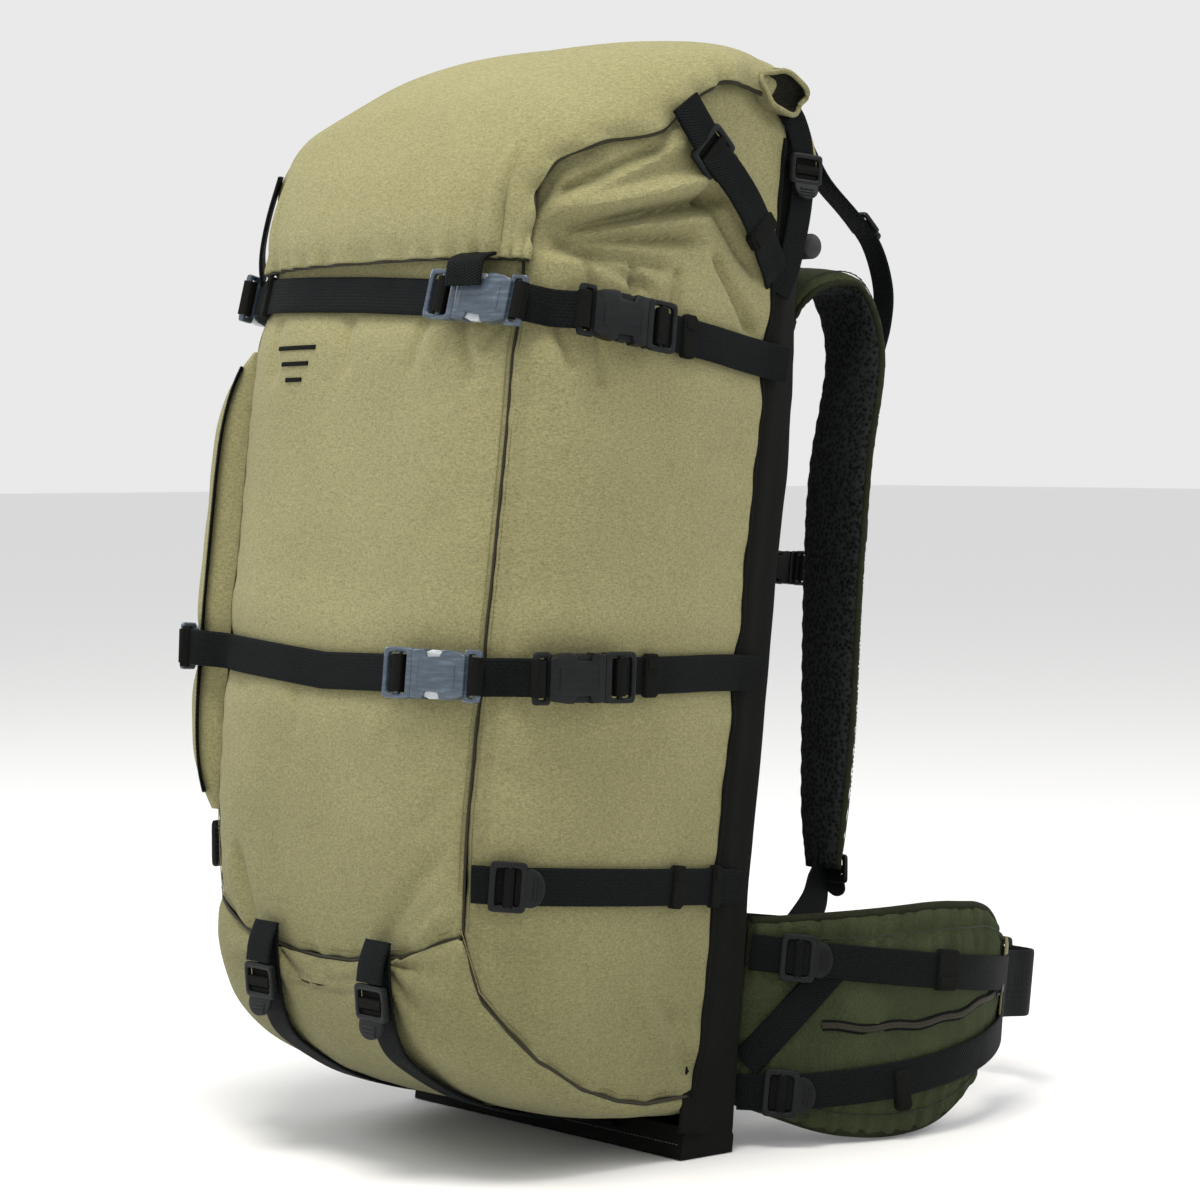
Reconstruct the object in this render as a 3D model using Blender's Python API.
"""Hunting backpack on an internal frame, standing and leaning back on its base shelf.

Everything is modelled in the pack's own upright frame: +X to the wearer's right, -Y out of the
bag's front, +Y towards the wearer's back, +Z up along the frame, y = 0 in the frame's plane.
The empty "pack" then leans all of it back about X and lifts it on to the floor at Z = 0.
"""

import math

import bmesh
import bpy
from mathutils import Matrix, Vector

# ---------------------------------------------------------------- driving dimensions, metres
LEAN = math.radians(7.0)
LIFT = 0.010
GAP = 0.0004

BAG_BACK_Y = -0.043
BAG_BACK_X = 0.157
BAG_MIDDLE_Y = -0.130
BAG_HALF_WIDTH = 0.1740
BAG_DEPTH = 0.132
BAG_SQUARENESS = 4.0
SEAM_AT = 0.588
CLOTH = 0.004
BOTTOM_ROUNDNESS = 0.74
LASH_X = 0.064
LASH_MIDDLE = 0.012
POCKET_HEIGHTS = (0.190, 0.516)
POCKET_SHARES = (0.17, 0.576)
POCKET_BULGE = 0.034
POCKET_FULLNESS = 0.36
HEM_TOP = 0.574

WEBBING = 0.025
WEBBING_THICK = 0.0018
WEBBING_OFF = 0.0021
STRAP_TAIL = 0.018
HIP_WEBBING = 0.050

BUCKLE_SIZE = (0.078, 0.034, 0.011)
STERNUM_BUCKLE_SIZE = (0.048, 0.026, 0.009)
HIP_BUCKLE_SIZE = (0.074, 0.062, 0.013)
BUCKLE_OFF = 0.0105

LOCK_WIDE = 0.033
LOCK_LONG = 0.030
LOCK_THICK = 0.004
LOCK_OFF = 0.0068

SHELF_TOP = 0.0025
SHELF_Y = (-0.036, 0.0105)
SHELF_HALF_X = 0.150
STAY_X = 0.1450
STAY_Y = -0.024
STAY_RADIUS = 0.006
CROSSBAR_AT = (0.0335, 0.624)
CROSSBAR_RADIUS = 0.009
CROSSBAR_LONG = 0.250

LID_HINGE = (0.030, 0.706)
HARNESS_HINGE = (0.040, 0.585)
WING_HINGE = (0.124, 0.026)

MATERIALS = {
    "bag_cloth": ((0.400, 0.340, 0.170), 0.85, 0.0),
    "black_cloth": ((0.020, 0.020, 0.020), 0.90, 0.0),
    "olive_cloth": ((0.085, 0.095, 0.035), 0.85, 0.0),
    "webbing": ((0.014, 0.014, 0.014), 0.75, 0.0),
    "black_plastic": ((0.018, 0.018, 0.020), 0.40, 0.0),
    "grey_plastic": ((0.180, 0.230, 0.300), 0.30, 0.0),
    "stay_metal": ((0.550, 0.560, 0.580), 0.35, 1.0),
    "frame_plastic": ((0.030, 0.030, 0.032), 0.50, 0.0),
}


# ---------------------------------------------------------------- building tools
def clear_scene():
    for thing in list(bpy.data.objects):
        bpy.data.objects.remove(thing, do_unlink=True)


def make_material(name, colour, roughness, metallic):
    material = bpy.data.materials.new(name)
    material.use_nodes = True
    shader = material.node_tree.nodes["Principled BSDF"]
    shader.inputs["Base Color"].default_value = (*colour, 1.0)
    shader.inputs["Roughness"].default_value = roughness
    shader.inputs["Metallic"].default_value = metallic
    return material


def make_empty(name, parent=None, matrix=None):
    empty = bpy.data.objects.new(name, None)
    bpy.context.collection.objects.link(empty)
    empty.parent = parent
    if matrix is not None:
        empty.matrix_local = matrix
    return empty


def make_object(name, bm, material, parent, matrix=None, smooth=True):
    """A named object from a bmesh, with its normals out, under its parent."""
    bmesh.ops.recalc_face_normals(bm, faces=bm.faces)
    mesh = bpy.data.meshes.new(name)
    bm.to_mesh(mesh)
    bm.free()
    if smooth:
        mesh.shade_smooth()
        mesh.set_sharp_from_angle(angle=math.radians(35.0))
    thing = bpy.data.objects.new(name, mesh)
    bpy.context.collection.objects.link(thing)
    thing.data.materials.append(bpy.data.materials[material])
    thing.parent = parent
    if matrix is not None:
        thing.matrix_local = matrix
    return thing


def grid_mesh(rows):
    """A quad sheet through rows of points."""
    bm = bmesh.new()
    verts = [[bm.verts.new(point) for point in row] for row in rows]
    for low, high in zip(verts, verts[1:]):
        for a, b, c, d in zip(low, low[1:], high[1:], high):
            bm.faces.new((a, b, c, d))
    return bm


def skin_rings(rings):
    """A closed solid through rings of equal counts, capped at both ends."""
    bm = bmesh.new()
    verts = [[bm.verts.new(point) for point in ring] for ring in rings]
    count = len(rings[0])
    for low, high in zip(verts, verts[1:]):
        for i in range(count):
            j = (i + 1) % count
            bm.faces.new((low[i], low[j], high[j], high[i]))
    bm.faces.new(list(reversed(verts[0])))
    bm.faces.new(verts[-1])
    return bm


def block_mesh(low, high):
    """A box between two corners."""
    bm = bmesh.new()
    size = [b - a for a, b in zip(low, high)]
    middle = [(a + b) / 2 for a, b in zip(low, high)]
    bmesh.ops.create_cube(bm, size=1.0, matrix=Matrix.Translation(middle) @ Matrix.Diagonal((*size, 1.0)))
    return bm


def outline_mesh(points, low, high):
    """A flat outline in XY, extruded from z = low to z = high."""
    bm = bmesh.new()
    face = bm.faces.new([bm.verts.new((x, y, low)) for x, y in points])
    grown = bmesh.ops.extrude_face_region(bm, geom=[face])
    moved = [item for item in grown["geom"] if isinstance(item, bmesh.types.BMVert)]
    bmesh.ops.translate(bm, vec=(0.0, 0.0, high - low), verts=moved)
    return bm


def thicken(thing, thickness):
    """Cloth of even thickness, grown to the inner side of its outer sheet."""
    solid = thing.modifiers.new("Cloth", "SOLIDIFY")
    solid.thickness = thickness
    solid.offset = -1.0
    solid.use_even_offset = True


def cut(thing, name, low, high):
    """Cuts a box out of a thing, in the thing's own space."""
    cutter = make_object(name, block_mesh(low, high), thing.data.materials[0].name, thing, smooth=False)
    cutter.hide_render = True
    cutter.display_type = "WIRE"
    hole = thing.modifiers.new(name, "BOOLEAN")
    hole.operation = "DIFFERENCE"
    hole.solver = "EXACT"
    hole.object = cutter


def ribbon(name, route, normals, width, thickness, material, parent, offset=0.0):
    """Webbing along a route, lying on the surface that the normals stand out of."""
    rings = []
    last = len(route) - 1
    for i, (point, normal) in enumerate(zip(route, normals)):
        along = (route[min(i + 1, last)] - route[max(i - 1, 0)]).normalized()
        out = (normal - along * normal.dot(along)).normalized()
        across = along.cross(out)
        middle = point + out * offset
        corners = ((-1, -1), (1, -1), (1, 1), (-1, 1))
        ring = [middle + across * (a * width / 2) + out * (b * thickness / 2) for a, b in corners]
        rings.append(ring)
    make_object(name, skin_rings(rings), material, parent, smooth=False)


def blend_line(knots, at):
    """Value at a place on the line through (place, value) knots."""
    if at <= knots[0][0]:
        return knots[0][1]
    for (a, low), (b, high) in zip(knots, knots[1:]):
        if at <= b:
            return low + (high - low) * (at - a) / (b - a)
    return knots[-1][1]


def smooth_route(points, steps):
    """Catmull-Rom route through a few hand-placed points."""
    ends = [points[0] * 2 - points[1], *points, points[-1] * 2 - points[-2]]
    route = []
    for a, b, c, d in zip(ends, ends[1:], ends[2:], ends[3:]):
        for i in range(steps):
            t = i / steps
            bend = (a * 2 - b * 5 + c * 4 - d) * t ** 2
            twist = (b * 3 - a - c * 3 + d) * t ** 3
            route.append((b * 2 + (c - a) * t + bend + twist) * 0.5)
    route.append(points[-1].copy())
    return route


# ---------------------------------------------------------------- the bag's outer surface
WIDTH_SCALE = (
    (0.02, 0.86), (0.06, 0.90), (0.10, 0.945), (0.14, 0.970), (0.20, 0.985), (0.34, 1.015),
    (0.46, 1.025), (0.54, 1.0), (0.60, 0.965), (0.73, 0.93),
)
DEPTH_SCALE = (
    (0.02, 0.66), (0.06, 0.755), (0.10, 0.850), (0.14, 0.930), (0.20, 1.0), (0.50, 1.0),
    (0.575, 0.945), (0.73, 0.85),
)


def half_outline(height):
    """Right half of the bag's outline at a height, from its back edge to the middle of its front."""
    width = BAG_HALF_WIDTH * blend_line(WIDTH_SCALE, height)
    depth = BAG_DEPTH * blend_line(DEPTH_SCALE, height)
    back_x = min(BAG_BACK_X, width)
    points = []
    for i in range(9):
        t = i / 9
        x = back_x + (width - back_x) * math.sin(t * math.pi / 2)
        points.append((x, BAG_BACK_Y + (BAG_MIDDLE_Y - BAG_BACK_Y) * t))
    power = 2.0 / BAG_SQUARENESS
    for i in range(41):
        angle = math.pi / 2 * i / 40
        x = width * max(math.cos(angle), 0.0) ** power
        y = BAG_MIDDLE_Y - depth * math.sin(angle) ** power
        points.append((x, y))
    return points


def on_outline(points, share):
    """Place on a half outline at a share of its length."""
    lengths = [0.0]
    for (ax, ay), (bx, by) in zip(points, points[1:]):
        lengths.append(lengths[-1] + math.hypot(bx - ax, by - ay))
    want = min(max(share, 0.0), 1.0) * lengths[-1]
    step = next(i for i in range(len(points) - 1) if want <= lengths[i + 1] + 1e-9)
    t = (want - lengths[step]) / max(lengths[step + 1] - lengths[step], 1e-9)
    (ax, ay), (bx, by) = points[step], points[step + 1]
    return ax + (bx - ax) * t, ay + (by - ay) * t


def bag_place(side, share, height):
    """Point on the bag: side +1 right, -1 left; share 0 at the back edge, 1 at the front's middle."""
    x, y = on_outline(half_outline(height), share)
    return Vector((x * side, y, height))


def bag_point(side, share, height):
    """Point on the bag and the direction out of its cloth there."""
    step, rise = 0.012, 0.008
    if share + step > 1.0:
        ahead = bag_place(-side, 2.0 - share - step, height)
    else:
        ahead = bag_place(side, share + step, height)
    along = ahead - bag_place(side, max(share - step, 0.0), height)
    up = bag_place(side, share, height + rise) - bag_place(side, share, height - rise)
    out = up.cross(along).normalized() * side
    return bag_place(side, share, height), out


def low_edge(share):
    """Height of the side panel's lower seam."""
    knots = (
        (0.0, 0.030), (0.10, 0.024), (0.19, 0.026), (0.30, 0.034), (0.42, 0.052), (0.49, 0.070),
        (0.55, 0.090), (SEAM_AT, 0.128),
    )
    return blend_line(knots, share)


def front_hem(share):
    """Height of the front panel's lower hem."""
    return blend_line(((SEAM_AT, 0.130), (0.73, 0.111), (0.90, 0.103), (1.0, 0.102)), share)


def side_top(share):
    """Height of the side panel's upper edge, just under the lid's seam."""
    knots = ((0.0, 0.690), (0.105, 0.706), (0.182, 0.704), (0.228, 0.694), (0.278, 0.678), (0.338, 0.660),
             (0.463, 0.643), (0.537, 0.625), (0.562, 0.606), (SEAM_AT, 0.590))
    return blend_line(knots, share)


def share_steps(start, end, count):
    return [start + (end - start) * i / count for i in range(count + 1)]


def bag_panels(pack):
    """Four cloth walls of the bag: front, two sides and the boat-shaped bottom."""
    half = share_steps(SEAM_AT + 0.006, 1.0, 8)
    columns = [(1, share) for share in half] + [(-1, share) for share in reversed(half[:-1])]
    rows = []
    for v in share_steps(0.0, 1.0, 10):
        rows.append([
            bag_point(side, share, front_hem(share) + (HEM_TOP - front_hem(share)) * v)[0]
            for side, share in columns
        ])
    front = make_object("front_panel", grid_mesh(rows), "bag_cloth", pack)
    thicken(front, CLOTH)
    for name, side in (("side_panel_right", 1), ("side_panel_left", -1)):
        rows = []
        for v in share_steps(0.0, 1.0, 12):
            row = []
            for share in share_steps(0.0, SEAM_AT - 0.006, 8):
                low = low_edge(share)
                row.append(bag_point(side, share, low + (side_top(share) - low) * v)[0])
            rows.append(row)
        if side > 0:
            rows.reverse()
        panel = make_object(name, grid_mesh(rows), "bag_cloth", pack)
        thicken(panel, CLOTH)


BOTTOM_DEPTH = ((-0.241, 0.078), (-0.234, 0.060), (-0.220, 0.045), (-0.185, 0.0265), (-0.155, 0.0175),
                (-0.120, 0.0115), (-0.043, 0.0090))


def bottom_rim(share):
    """Rim point of the bottom panel, tucked just inside the walls' lower edges."""
    height = (low_edge(share) if share <= SEAM_AT else front_hem(share)) - 0.0030
    return bag_point(1, share, height)[0]


def bottom_panel(pack):
    """Boat-shaped bottom: each cross-section hangs from the two rims like a flat-bottomed bowl."""
    rows = []
    across = 14
    for share in share_steps(0.0, 0.985, 16):
        rim = bottom_rim(share)
        floor_height = min(blend_line(BOTTOM_DEPTH, rim.y), rim.z - 0.002)
        row = []
        for i in range(across + 1):
            angle = math.pi * i / across
            x = rim.x * math.copysign(abs(math.cos(angle)) ** BOTTOM_ROUNDNESS, math.cos(angle))
            sink = math.sin(angle) ** BOTTOM_ROUNDNESS
            row.append(Vector((x, rim.y, rim.z - (rim.z - floor_height) * sink)))
        rows.append(row)
    bottom = make_object("bottom_panel", grid_mesh(rows), "bag_cloth", pack)
    thicken(bottom, CLOTH)


LID_SEAM = (
    (0.152, -0.233, 0.573), (0.152, -0.232, 0.590), (0.152, -0.229, 0.618), (0.156, -0.222, 0.635),
    (0.166, -0.198, 0.652), (0.168, -0.155, 0.669), (0.167, -0.135, 0.688), (0.167, -0.118, 0.703),
    (0.166, -0.103, 0.714), (0.164, -0.077, 0.719), (0.160, -0.045, 0.713), (0.150, -0.018, 0.704),
)
LID_CROWN = (
    (-0.269, 0.573), (-0.267, 0.592), (-0.257, 0.627), (-0.242, 0.656), (-0.220, 0.685), (-0.187, 0.711),
    (-0.152, 0.730), (-0.117, 0.742), (-0.082, 0.749), (-0.047, 0.751), (0.000, 0.744), (0.030, 0.716),
)
LID_ROUNDNESS = 0.74


def lid(carrier):
    """Domed lid: each arch springs from the side seams and rises to the middle line."""
    rows = []
    across = 12
    for (edge_x, edge_y, edge_z), (crown_y, crown_z) in zip(LID_SEAM, LID_CROWN):
        row = []
        for i in range(across + 1):
            angle = math.pi * i / across
            reach = math.copysign(abs(math.cos(angle)) ** LID_ROUNDNESS, math.cos(angle))
            rise = math.sin(angle) ** LID_ROUNDNESS
            y = edge_y + (crown_y - edge_y) * rise
            z = edge_z + (crown_z - edge_z) * rise
            row.append(Vector((edge_x * reach, y, z)) - carrier.location)
        rows.append(row)
    rows.reverse()
    thing = make_object("lid", grid_mesh(rows), "bag_cloth", carrier)
    thicken(thing, CLOTH)


def top_collar(pack):
    """Drawcord collar inside the mouth of the bag: a tube open at top and bottom."""
    inset = 0.024
    shares = share_steps(0.02, 1.0, 9)
    columns = [(1, share) for share in shares] + [(-1, share) for share in shares[-2::-1]]
    rows = []
    for height in (0.550, 0.585, 0.615):
        row = []
        for side, share in columns:
            point, out = bag_point(side, share, height)
            row.append(point - out * inset)
        rows.append(row)
    bm = grid_mesh(rows)
    bm.verts.ensure_lookup_table()
    width = len(columns)
    for low in range(0, (len(rows) - 1) * width, width):
        left, right = bm.verts[low], bm.verts[low + width - 1]
        bm.faces.new((left, right, bm.verts[low + 2 * width - 1], bm.verts[low + width]))
    collar = make_object("top_collar", bm, "bag_cloth", pack)
    thicken(collar, 0.0025)


def pocket_bulge(share, height):
    """How far the left pocket stands off the side panel."""
    (low, high), (back, front) = POCKET_HEIGHTS, POCKET_SHARES
    if not (low <= height <= high and back <= share <= front):
        return 0.0
    up = (height - low) / (high - low)
    swell = (1.0 - abs(2.0 * up - 1.0) ** 5) * POCKET_BULGE + 0.006
    return 0.003 + swell * max(math.sin(math.pi * (share - back) / (front - back)), 0.0) ** POCKET_FULLNESS


def side_pocket(pack):
    """Long zipped pocket down the left side, full and bulging."""
    rings = []
    low, high = POCKET_HEIGHTS
    shares = share_steps(*POCKET_SHARES, 8)
    for v in share_steps(0.0, 1.0, 10):
        height = low + (high - low) * v
        ring = []
        for share in shares:
            point, out = bag_point(-1, share, height)
            ring.append(point + out * 0.0010)
        for share in reversed(shares):
            point, out = bag_point(-1, share, height)
            ring.append(point + out * pocket_bulge(share, height))
        rings.append(ring)
    make_object("side_pocket_left", skin_rings(rings), "bag_cloth", pack)


# ---------------------------------------------------------------- frame and back
def frame_parts(pack):
    for name, side in (("frame_stay_right", 1), ("frame_stay_left", -1)):
        route = smooth_route(
            [Vector((side * STAY_X, y, z)) for y, z in
             ((STAY_Y, 0.012), (STAY_Y, 0.24), (STAY_Y, 0.48), (STAY_Y, 0.686))], 3)
        rings = []
        for point in route:
            ring = []
            for i in range(10):
                angle = 2 * math.pi * i / 10
                ring.append(point + Vector((math.cos(angle), math.sin(angle), 0.0)) * STAY_RADIUS)
            rings.append(ring)
        make_object(name, skin_rings(rings), "stay_metal", pack)

    make_object("frame_sheet", block_mesh((-0.130, -0.012, 0.020), (0.130, -0.009, 0.600)),
                "frame_plastic", pack, smooth=False)

    tube = bmesh.new()
    turn = Matrix.Translation((0.0, *CROSSBAR_AT)) @ Matrix.Rotation(math.pi / 2, 4, "Y")
    bmesh.ops.create_cone(tube, cap_ends=True, segments=16, radius1=CROSSBAR_RADIUS,
                          radius2=CROSSBAR_RADIUS, depth=CROSSBAR_LONG, matrix=turn)
    make_object("frame_crossbar", tube, "frame_plastic", pack)


BACK_PROFILE = (
    (0.004, 0.012, 0.149), (0.180, 0.006, 0.149), (0.300, 0.006, 0.149), (0.440, 0.007, 0.149),
    (0.540, 0.010, 0.142), (0.624, 0.015, 0.129), (0.692, 0.020, 0.118),
)


def back_panel(pack):
    """Black back: a shallow tray whose sides fold forward round the stays to the bag's edges."""
    rows = []
    side_x = BAG_BACK_X - 0.001
    front_y = BAG_BACK_Y + 0.0015
    for height, back_y, corner_x in BACK_PROFILE:
        row = [
            Vector((side_x - 0.001, front_y, height)),
            Vector((side_x, front_y + 0.018, height)),
            Vector((side_x - 0.003, front_y + 0.030, height)),
            Vector((corner_x, back_y - 0.002, height)),
            Vector((corner_x - 0.012, back_y, height)),
            Vector((0.060, back_y, height)),
        ]
        mirror = [Vector((-point.x, point.y, point.z)) for point in reversed(row)]
        rows.append(row + mirror)
    panel = make_object("back_panel", grid_mesh(rows), "black_cloth", pack)
    thicken(panel, 0.003)


def inner_back(pack):
    """Cloth inner back of the bag, between its contents and the frame."""
    make_object("inner_back", block_mesh((-0.149, -0.0415, 0.030), (0.149, -0.0385, 0.690)),
                "bag_cloth", pack, smooth=False)


def base_shelf(pack):
    """Load shelf under the bag's rear: its underside lies flat on the floor when the pack leans."""
    (low_y, high_y), half = SHELF_Y, SHELF_HALF_X
    plan = ((-half, high_y), (-half, low_y), (half, low_y), (half, high_y))
    underside = [Vector((x, y, y * math.tan(LEAN) - LIFT / math.cos(LEAN))) for x, y in plan]
    top = [Vector((x, y, SHELF_TOP)) for x, y in plan]
    make_object("base_shelf", skin_rings([underside, top]), "black_cloth", pack, smooth=False)


def pad(name, low, high, crown, material, pack):
    """Soft pad: its inner face flat at low y, its outer face crowned to high y."""
    (x0, y0, z0), (x1, y1, z1) = low, high
    rings = []
    for v in share_steps(0.0, 1.0, 8):
        z = z0 + (z1 - z0) * v
        taper = (1.0 - abs(2.0 * v - 1.0) ** 4) ** 0.5
        half = (x1 - x0) / 2 * (0.80 + 0.20 * taper)
        middle = (x0 + x1) / 2
        ring = [Vector((middle - half, y0, z)), Vector((middle + half, y0, z))]
        for u in share_steps(1.0, -1.0, 6):
            thick = (y1 - y0) * (1.0 - crown + crown * taper * (1.0 - abs(u) ** 3))
            ring.append(Vector((middle + half * u * 0.995, y0 + thick, z)))
        rings.append(ring)
    make_object(name, skin_rings(rings), material, pack)


# ---------------------------------------------------------------- plastic hardware
def hardware_matrix(point, along, out):
    """Frame with +X along the webbing and +Z out of the surface."""
    along = (along - out * along.dot(out)).normalized()
    across = out.cross(along)
    matrix = Matrix((along, across, out)).transposed().to_4x4()
    matrix.translation = point
    return matrix


def side_release_female(name, material, parent, matrix, size=BUCKLE_SIZE):
    """Socket half: open mouth, two side windows and a slot for its webbing."""
    long, wide, thick = size
    half, deep = wide / 2, thick / 2
    back, mouth = -0.50 * long, 0.17 * long
    outline = [
        (back, -half), (back + 0.32 * long, -half * 0.86), (mouth, -half), (mouth, half),
        (back + 0.32 * long, half * 0.86), (back, half),
    ]
    body = make_object(name, outline_mesh(outline, -deep, deep), material, parent, matrix, smooth=False)
    inside = half * 0.76
    cut(body, name + "_socket", (back + 0.27 * long, -inside, -deep * 0.60),
        (mouth + 0.01, inside, deep * 0.60))
    cut(body, name + "_windows", (back + 0.38 * long, -half - 0.01, -deep * 0.50),
        (mouth - 0.10 * long, half + 0.01, deep * 0.50))
    cut(body, name + "_slot", (back + 0.07 * long, -half * 0.80, -deep - 0.01),
        (back + 0.17 * long, half * 0.80, deep + 0.01))
    return body


def side_release_male(name, material, parent, matrix, size=BUCKLE_SIZE):
    """Plug half: two sprung side prongs and a guide, on a base with an adjuster for its webbing."""
    long, wide, thick = size
    half = wide / 2
    mouth, end = 0.17 * long + GAP, 0.50 * long
    tip = -0.20 * long
    reach = half * 0.76 - GAP
    prong = 0.0032
    outline = [
        (mouth, -half), (end, -half), (end, half), (mouth, half),
        (mouth, reach), (tip + 0.003, reach), (tip, reach - prong * 0.5), (tip, reach - prong),
        (mouth, reach - prong), (mouth, prong * 0.6), (tip + 0.006, prong * 0.6), (tip + 0.006, -prong * 0.6),
        (mouth, -prong * 0.6), (mouth, prong - reach), (tip, prong - reach), (tip, prong * 0.5 - reach),
        (tip + 0.003, -reach), (mouth, -reach),
    ]
    deep = thick * 0.26
    body = make_object(name, outline_mesh(outline, -deep, deep), material, parent, matrix, smooth=False)
    slot = 0.80 * half
    cut(body, name + "_slot_near", (mouth + 0.06 * long, -slot, -0.02), (mouth + 0.13 * long, slot, 0.02))
    cut(body, name + "_slot_far", (mouth + 0.19 * long, -slot, -0.02), (mouth + 0.26 * long, slot, 0.02))
    return body


def ladderlock(name, material, parent, matrix):
    """Tension lock: a frame with two slots and a rounded lifting tongue at its +X end."""
    half = LOCK_WIDE / 2
    outline = [(-0.002, -half), (LOCK_LONG - 0.006, -half)]
    for i in range(1, 6):
        angle = math.pi * i / 6 - math.pi / 2
        outline.append((LOCK_LONG - 0.006 + 0.010 * math.cos(angle), half * math.sin(angle)))
    outline += [(LOCK_LONG - 0.006, half), (-0.002, half)]
    plate = outline_mesh(outline, -LOCK_THICK / 2, LOCK_THICK / 2)
    body = make_object(name, plate, material, parent, matrix, smooth=False)
    slot = half * 0.78
    cut(body, name + "_slot_near", (0.003, -slot, -0.01), (0.009, slot, 0.01))
    cut(body, name + "_slot_far", (0.013, -slot, -0.01), (0.020, slot, 0.01))
    return body


# ---------------------------------------------------------------- compression straps
class Girth:
    """A strap's line round the bag: heights at the back edge and front seam of each side, and in front."""

    def __init__(self, right_back, right_seam, middle, left_seam, left_back):
        self.knots = {
            1: ((0.0, right_back), (SEAM_AT, right_seam), (1.0, middle)),
            -1: ((0.0, left_back), (SEAM_AT, left_seam), (1.0, middle)),
        }

    def at(self, side, share):
        height = blend_line(self.knots[side], share)
        point, out = bag_point(side, share, height)
        if side < 0:
            lift = max(pocket_bulge(share + step, height) for step in (-0.02, 0.0, 0.02))
            point = point + out * lift
        return point, out


GIRTHS = {
    "top": Girth(0.533, 0.541, 0.549, 0.554, 0.545),
    "mid": Girth(0.319, 0.298, 0.294, 0.303, 0.319),
}
LOWER_GIRTH = Girth(0.173, 0.165, 0.160, 0.165, 0.173)
FRONT_BUCKLE_AT = {"top": 0.660, "mid": 0.670}
RIGHT_BUCKLE_AT = {"top": 0.392, "mid": 0.410}
LEFT_BUCKLE_AT = {"top": 0.470, "mid": 0.410}


def run(name, places, girth, parent):
    """One length of webbing round the bag through (side, share) places."""
    route, normals = [], []
    for side, share in places:
        point, out = girth.at(side, share)
        route.append(point)
        normals.append(out)
    if places[0][1] == 0.0:
        route.insert(0, route[0] + Vector((0.0, STRAP_TAIL, 0.0)))
        normals.insert(0, normals[0])
    ribbon(name, route, normals, WEBBING, WEBBING_THICK, "webbing", parent, WEBBING_OFF)


def buckle(level, where, side, share, towards, colour, girth, pack):
    """A side-release buckle on the strap. Its plug points along towards and slides out that way."""
    point, out = girth.at(side, share)
    before, _ = girth.at(side, share - 0.02)
    after, _ = girth.at(side, share + 0.02)
    along = (after - before).normalized() * towards
    matrix = hardware_matrix(point + out * BUCKLE_OFF, along, out)
    base = f"{level}_buckle_{where}"
    side_release_female(base + "_socket", colour, pack, matrix)
    carrier = make_empty(base + "_slide", pack, matrix)
    side_release_male(base + "_plug", colour, carrier, Matrix.Identity(4))


def compression_straps(pack):
    for level, girth in GIRTHS.items():
        front, right, left = FRONT_BUCKLE_AT[level], RIGHT_BUCKLE_AT[level], LEFT_BUCKLE_AT[level]
        run(f"{level}_strap_right", [(1, s) for s in share_steps(0.0, right + 0.01, 6)], girth, pack)
        link = [(1, s) for s in share_steps(right + 0.03, front - 0.01, 8)]
        run(f"{level}_strap_front_right", link, girth, pack)
        places = [(1, s) for s in share_steps(front + 0.01, 1.0, 4)]
        places += [(-1, s) for s in share_steps(1.0, left + 0.03, 9)[1:]]
        run(f"{level}_strap_front_left", places, girth, pack)
        run(f"{level}_strap_left", [(-1, s) for s in share_steps(0.0, left + 0.01, 7)], girth, pack)
        buckle(level, "front", 1, front, 1, "grey_plastic", girth, pack)
        buckle(level, "right", 1, right, -1, "black_plastic", girth, pack)
        buckle(level, "left", -1, left, -1, "grey_plastic", girth, pack)


def side_straps(pack):
    """Lower straps on each side, from the front seam back to the frame, with a ladderlock."""
    for word, side in (("right", 1), ("left", -1)):
        run(f"side_strap_{word}", [(side, s) for s in share_steps(0.0, 0.572, 9)], LOWER_GIRTH, pack)
        point, out = LOWER_GIRTH.at(side, 0.535)
        behind, _ = LOWER_GIRTH.at(side, 0.495)
        matrix = hardware_matrix(point + out * LOCK_OFF, behind - point, out)
        carrier = make_empty(f"side_lock_{word}_tilt", pack, matrix)
        ladderlock(f"side_lock_{word}", "black_plastic", carrier, Matrix.Identity(4))


def lash_straps(pack):
    """Bottom lash straps: from under the front hem, through ladderlocks, down to the base shelf."""
    for word, x in (("right", LASH_MIDDLE + LASH_X), ("left", LASH_MIDDLE - LASH_X)):
        points = [
            Vector((x, -0.2530, 0.118)), Vector((x, -0.2485, 0.092)), Vector((x, -0.238, 0.053)),
            Vector((x, -0.220, 0.0335)), Vector((x, -0.184, 0.0165)), Vector((x, -0.140, 0.0080)),
            Vector((x, -0.090, 0.0045)), Vector((x, -0.058, 0.0020)), Vector((x, -0.039, 0.0000)),
        ]
        route = smooth_route(points, 3)
        normals = []
        for i in range(len(route)):
            along = (route[min(i + 1, len(route) - 1)] - route[max(i - 1, 0)]).normalized()
            normals.append(Vector((0.0, along.z, -along.y)))
        ribbon(f"lash_strap_{word}", route, normals, WEBBING, WEBBING_THICK, "webbing", pack)
        along = Vector((0.0, 0.20, -1.0)).normalized()
        out = Vector((0.0, -1.0, -0.20)).normalized()
        matrix = hardware_matrix(Vector((x, -0.2520, 0.090)) + out * 0.0045, along, out)
        carrier = make_empty(f"lash_lock_{word}_tilt", pack, matrix)
        ladderlock(f"lash_lock_{word}", "black_plastic", carrier, Matrix.Identity(4))


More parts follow.
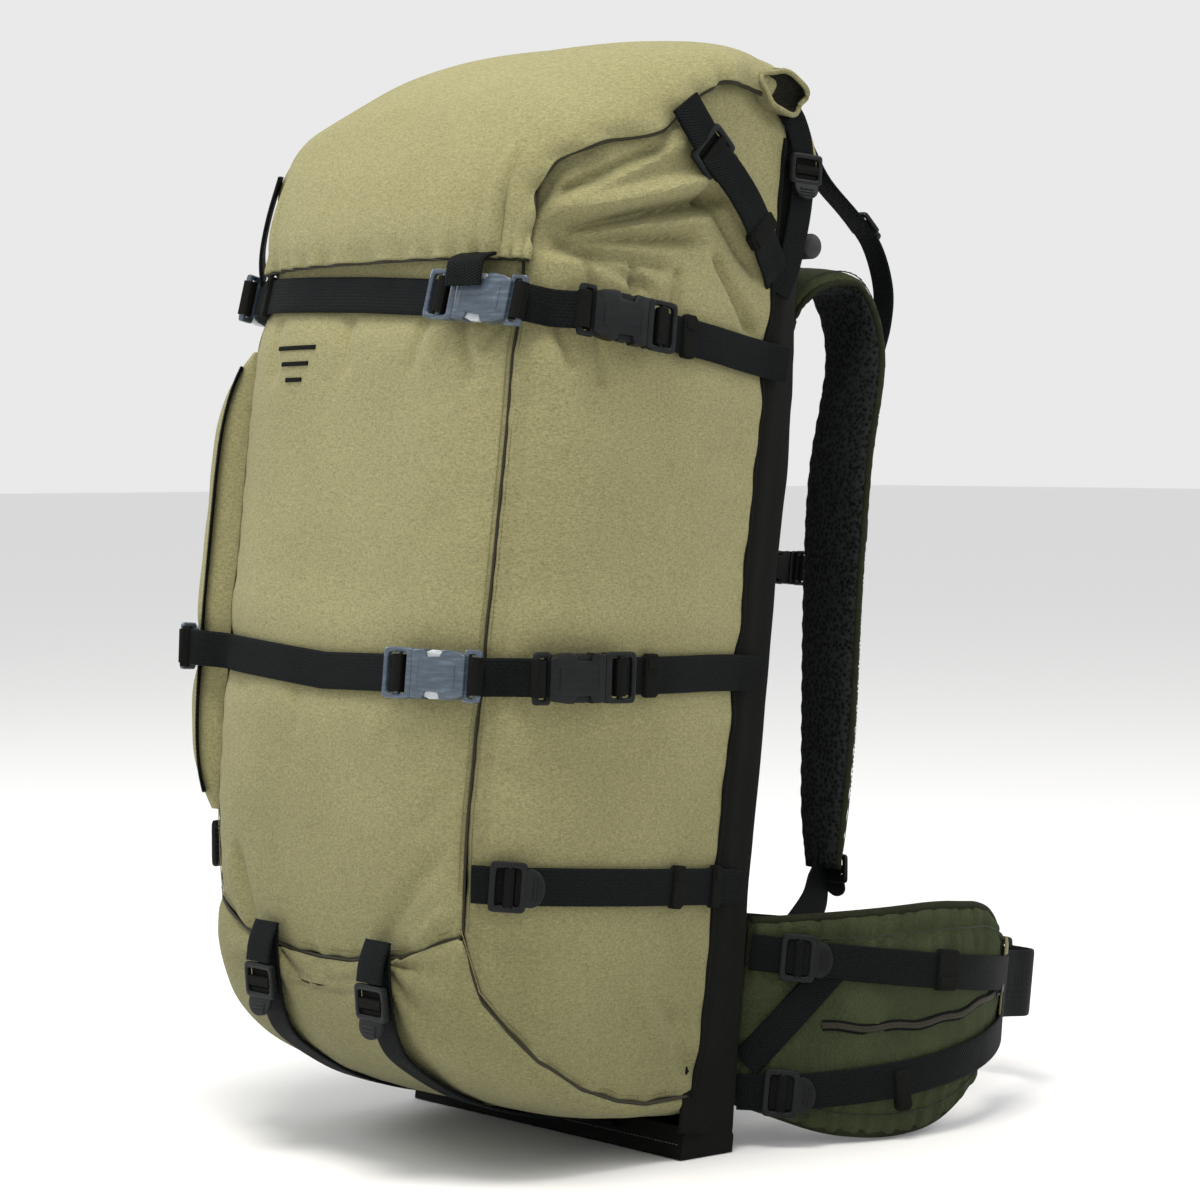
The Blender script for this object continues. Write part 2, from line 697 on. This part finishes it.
def lid_locks(lid_carrier):
    """Ladderlocks sewn to the lid's side seams, for the straps that pull the lid down to the frame."""
    for word, side in (("right", 1), ("left", -1)):
        point = Vector((side * 0.1745, -0.121, 0.668)) - lid_carrier.location
        along = Vector((side * -0.02, 0.79, -0.61)).normalized()
        out = Vector((side * 1.0, 0.0, 0.0))
        matrix = hardware_matrix(point, along, out)
        carrier = make_empty(f"lid_lock_{word}_tilt", lid_carrier, matrix)
        ladderlock(f"lid_lock_{word}", "black_plastic", carrier, Matrix.Identity(4))


# ---------------------------------------------------------------- harness
STRAP_MIDDLE = (
    (0.060, 0.046, 0.545), (0.062, 0.053, 0.585), (0.065, 0.078, 0.607), (0.070, 0.110, 0.606),
    (0.078, 0.127, 0.560), (0.089, 0.112, 0.475), (0.097, 0.108, 0.385), (0.103, 0.110, 0.290),
    (0.106, 0.111, 0.225), (0.107, 0.114, 0.188),
)


STRAP_HALF_WIDTH = ((0.0, 0.028), (0.5, 0.033), (0.8, 0.028), (0.95, 0.022), (1.0, 0.016))
STRAP_HALF_THICK = ((0.0, 0.006), (0.15, 0.0085), (0.9, 0.0085), (1.0, 0.006))
STRAP_SECTION = (
    (-1.0, 0.0), (-0.85, -0.8), (0.0, -1.0), (0.85, -0.8), (1.0, 0.0), (0.85, 0.8), (0.0, 1.0), (-0.85, 0.8),
)


def shoulder_straps(carrier):
    """Curved padded straps, from the back, over the shoulder and down to their lower ends."""
    for word, side in (("right", 1), ("left", -1)):
        points = [Vector((side * x, y, z)) - carrier.location for x, y, z in STRAP_MIDDLE]
        route = smooth_route(points, 3)
        rings = []
        last = len(route) - 1
        for i, point in enumerate(route):
            along = (route[min(i + 1, last)] - route[max(i - 1, 0)]).normalized()
            out = Vector((side * 0.10, -along.z, along.y)).normalized()
            out = (out - along * out.dot(along)).normalized()
            across = along.cross(out).normalized()
            share = i / last
            half = blend_line(STRAP_HALF_WIDTH, share)
            thick = blend_line(STRAP_HALF_THICK, share)
            rings.append([point + across * a * half + out * b * thick for a, b in STRAP_SECTION])
        make_object(f"shoulder_strap_{word}", skin_rings(rings), "olive_cloth", carrier)


def sternum_buckle(carrier):
    """Small buckle of the chest strap, clipped between the two shoulder straps."""
    point = Vector((0.0, 0.150, 0.405)) - carrier.location
    matrix = hardware_matrix(point, Vector((1.0, 0.0, 0.0)), Vector((0.0, 1.0, 0.0)))
    side_release_female("sternum_buckle_socket", "black_plastic", carrier, matrix, STERNUM_BUCKLE_SIZE)
    slide = make_empty("sternum_buckle_slide", carrier, matrix)
    side_release_male("sternum_buckle_plug", "black_plastic", slide, Matrix.Identity(4), STERNUM_BUCKLE_SIZE)


# ---------------------------------------------------------------- hip belt
BELT_CENTRE_Y = 0.150
BELT_HALF_X = 0.186
BELT_HALF_Y = 0.172
WING_FROM = -46.0
WING_TO = 42.0
WING_THICK = 0.017
HIP_BUCKLE_Z = 0.111
HIP_BUCKLE_Y = 0.352
HIP_BUCKLE_X = 0.038
HIP_WEBBING_PLAN = ((0.124, 0.302), (0.116, 0.330), (0.100, 0.347), (0.0765, 0.3515))


def belt_point(angle):
    """Point and outward normal on the belt's oval, in plan."""
    a = math.radians(angle)
    point = Vector((BELT_HALF_X * math.cos(a), BELT_CENTRE_Y + BELT_HALF_Y * math.sin(a), 0.0))
    out = Vector((math.cos(a) / BELT_HALF_X, math.sin(a) / BELT_HALF_Y, 0.0)).normalized()
    return point, out


def wing_low(angle):
    knots = (
        (WING_FROM, 0.022), (-25.0, 0.006), (-10.0, 0.0055), (5.0, 0.014), (20.0, 0.038), (34.0, 0.070),
        (WING_TO, 0.092),
    )
    return blend_line(knots, angle)


def wing_high(angle):
    knots = (
        (WING_FROM, 0.148), (-25.0, 0.158), (0.0, 0.170), (20.0, 0.171), (32.0, 0.158), (WING_TO, 0.142),
    )
    return blend_line(knots, angle)


def hip_wings(carriers):
    for word, side in (("right", 1), ("left", -1)):
        carrier = carriers[word]
        rings = []
        for angle in share_steps(WING_FROM, WING_TO, 14):
            point, out = belt_point(angle)
            low, high = wing_low(angle), wing_high(angle)
            middle = (low + high) / 2
            ring = []
            for i in range(12):
                turn = 2 * math.pi * i / 12
                z = middle + (high - low) / 2 * math.copysign(abs(math.sin(turn)) ** 0.55, math.sin(turn))
                deep = WING_THICK / 2 * math.copysign(abs(math.cos(turn)) ** 0.6, math.cos(turn))
                place = point + out * deep
                ring.append(Vector((place.x * side, place.y, z)) - carrier.location)
            rings.append(ring)
        make_object(f"hip_wing_{word}", skin_rings(rings), "olive_cloth", carrier)

        tip = belt_point(WING_TO)[0]
        points = [Vector((tip.x - 0.0006, tip.y + 0.0010, 0.0))]
        points += [Vector((x, y, 0.0)) for x, y in HIP_WEBBING_PLAN]
        plan = smooth_route(points, 3)
        route = [Vector((p.x * side, p.y, HIP_BUCKLE_Z)) - carrier.location for p in plan]
        last = len(route) - 1
        normals = []
        for i in range(last + 1):
            along = route[min(i + 1, last)] - route[max(i - 1, 0)]
            normals.append(Vector((along.y * side, -along.x * side, 0.0)).normalized())
        ribbon(f"hip_webbing_{word}", route, normals, HIP_WEBBING, 0.0022, "webbing", carrier)

        for level, height, angle in (("upper", 0.127, -38.0), ("lower", 0.033, -39.0)):
            point, out = belt_point(angle)
            ahead, _ = belt_point(angle + 6.0)
            out = Vector((out.x * side, out.y, 0.0))
            along = Vector(((ahead.x - point.x) * side, ahead.y - point.y, 0.0))
            spot = Vector((point.x * side, point.y, height)) + out * (WING_THICK / 2 + LOCK_OFF - 0.001)
            matrix = hardware_matrix(spot - carrier.location, along, out)
            tilt = make_empty(f"hip_lock_{level}_{word}_tilt", carrier, matrix)
            ladderlock(f"hip_lock_{level}_{word}", "black_plastic", tilt, Matrix.Identity(4))


def hip_buckle(carriers):
    """Wide buckle of the hip belt, unclipped: socket on the left wing's webbing, plug on the right's."""
    halves = (("socket", "left", -1, side_release_female), ("plug", "right", 1, side_release_male))
    for kind, word, side, make in halves:
        carrier = carriers[word]
        spot = Vector((side * HIP_BUCKLE_X, HIP_BUCKLE_Y, HIP_BUCKLE_Z)) - carrier.location
        matrix = hardware_matrix(spot, Vector((1.0, 0.0, 0.0)), Vector((0.0, 1.0, 0.0)))
        make(f"hip_buckle_{kind}", "black_plastic", carrier, matrix, HIP_BUCKLE_SIZE)


# ---------------------------------------------------------------- assembly
def build():
    clear_scene()
    for name, (colour, roughness, metallic) in MATERIALS.items():
        make_material(name, colour, roughness, metallic)
    lean = Matrix.Translation((0.0, 0.0, LIFT)) @ Matrix.Rotation(-LEAN, 4, "X")
    pack = make_empty("pack", matrix=lean)
    lid_carrier = make_empty("lid_hinge", pack, Matrix.Translation((0.0, *LID_HINGE)))
    harness = make_empty("harness_hinge", pack, Matrix.Translation((0.0, *HARNESS_HINGE)))
    wing_x, wing_y = WING_HINGE
    wings = {
        "right": make_empty("wing_hinge_right", pack, Matrix.Translation((wing_x, wing_y, 0.0))),
        "left": make_empty("wing_hinge_left", pack, Matrix.Translation((-wing_x, wing_y, 0.0))),
    }

    bag_panels(pack)
    bottom_panel(pack)
    inner_back(pack)
    top_collar(pack)
    side_pocket(pack)
    lid(lid_carrier)

    frame_parts(pack)
    back_panel(pack)
    base_shelf(pack)
    pad("back_pad", (-0.105, 0.0135, 0.262), (0.105, 0.050, 0.530), 0.45, "black_cloth", pack)
    pad("lumbar_pad", (-0.112, 0.0125, 0.004), (0.112, 0.046, 0.215), 0.35, "black_cloth", pack)

    compression_straps(pack)
    side_straps(pack)
    lash_straps(pack)
    lid_locks(lid_carrier)

    shoulder_straps(harness)
    sternum_buckle(harness)
    hip_wings(wings)
    hip_buckle(wings)


build()
